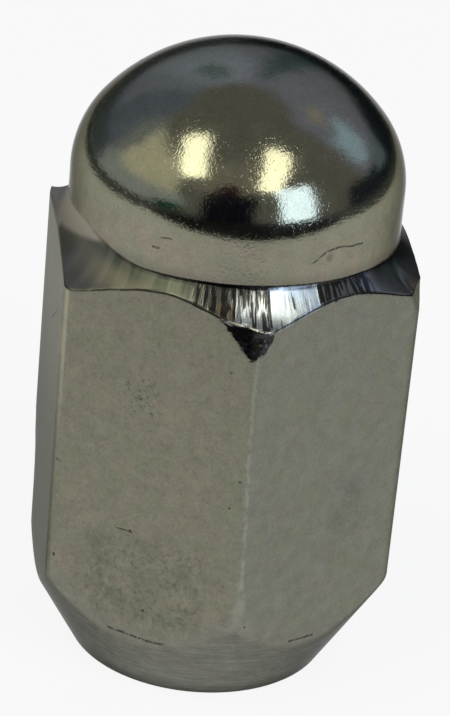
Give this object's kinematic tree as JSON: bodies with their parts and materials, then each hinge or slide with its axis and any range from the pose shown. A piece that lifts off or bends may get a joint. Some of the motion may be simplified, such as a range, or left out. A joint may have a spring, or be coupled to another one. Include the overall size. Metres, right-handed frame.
{
  "type": "closed-end wheel nut",
  "caption": "Long hexagon cap nut with a round collar, a low polished dome, a coned seat and a blind threaded hole.",
  "frame": {"origin": "centre of the narrow end face, on the thread's axis, where the nut starts on its stud", "axes": "+Z along the thread's axis to the dome, +X and -X the outward normals of two flats, +Y and -Y through two upright corners"},
  "size_m": [0.019, 0.0216, 0.0353],
  "materials": {
    "plated_steel": "nickel-chrome plate, worn and hazed on the flats, bright on the dome"
  },
  "bodies": {
    "root": {"nut": "plated_steel"}
  },
  "joints": []
}
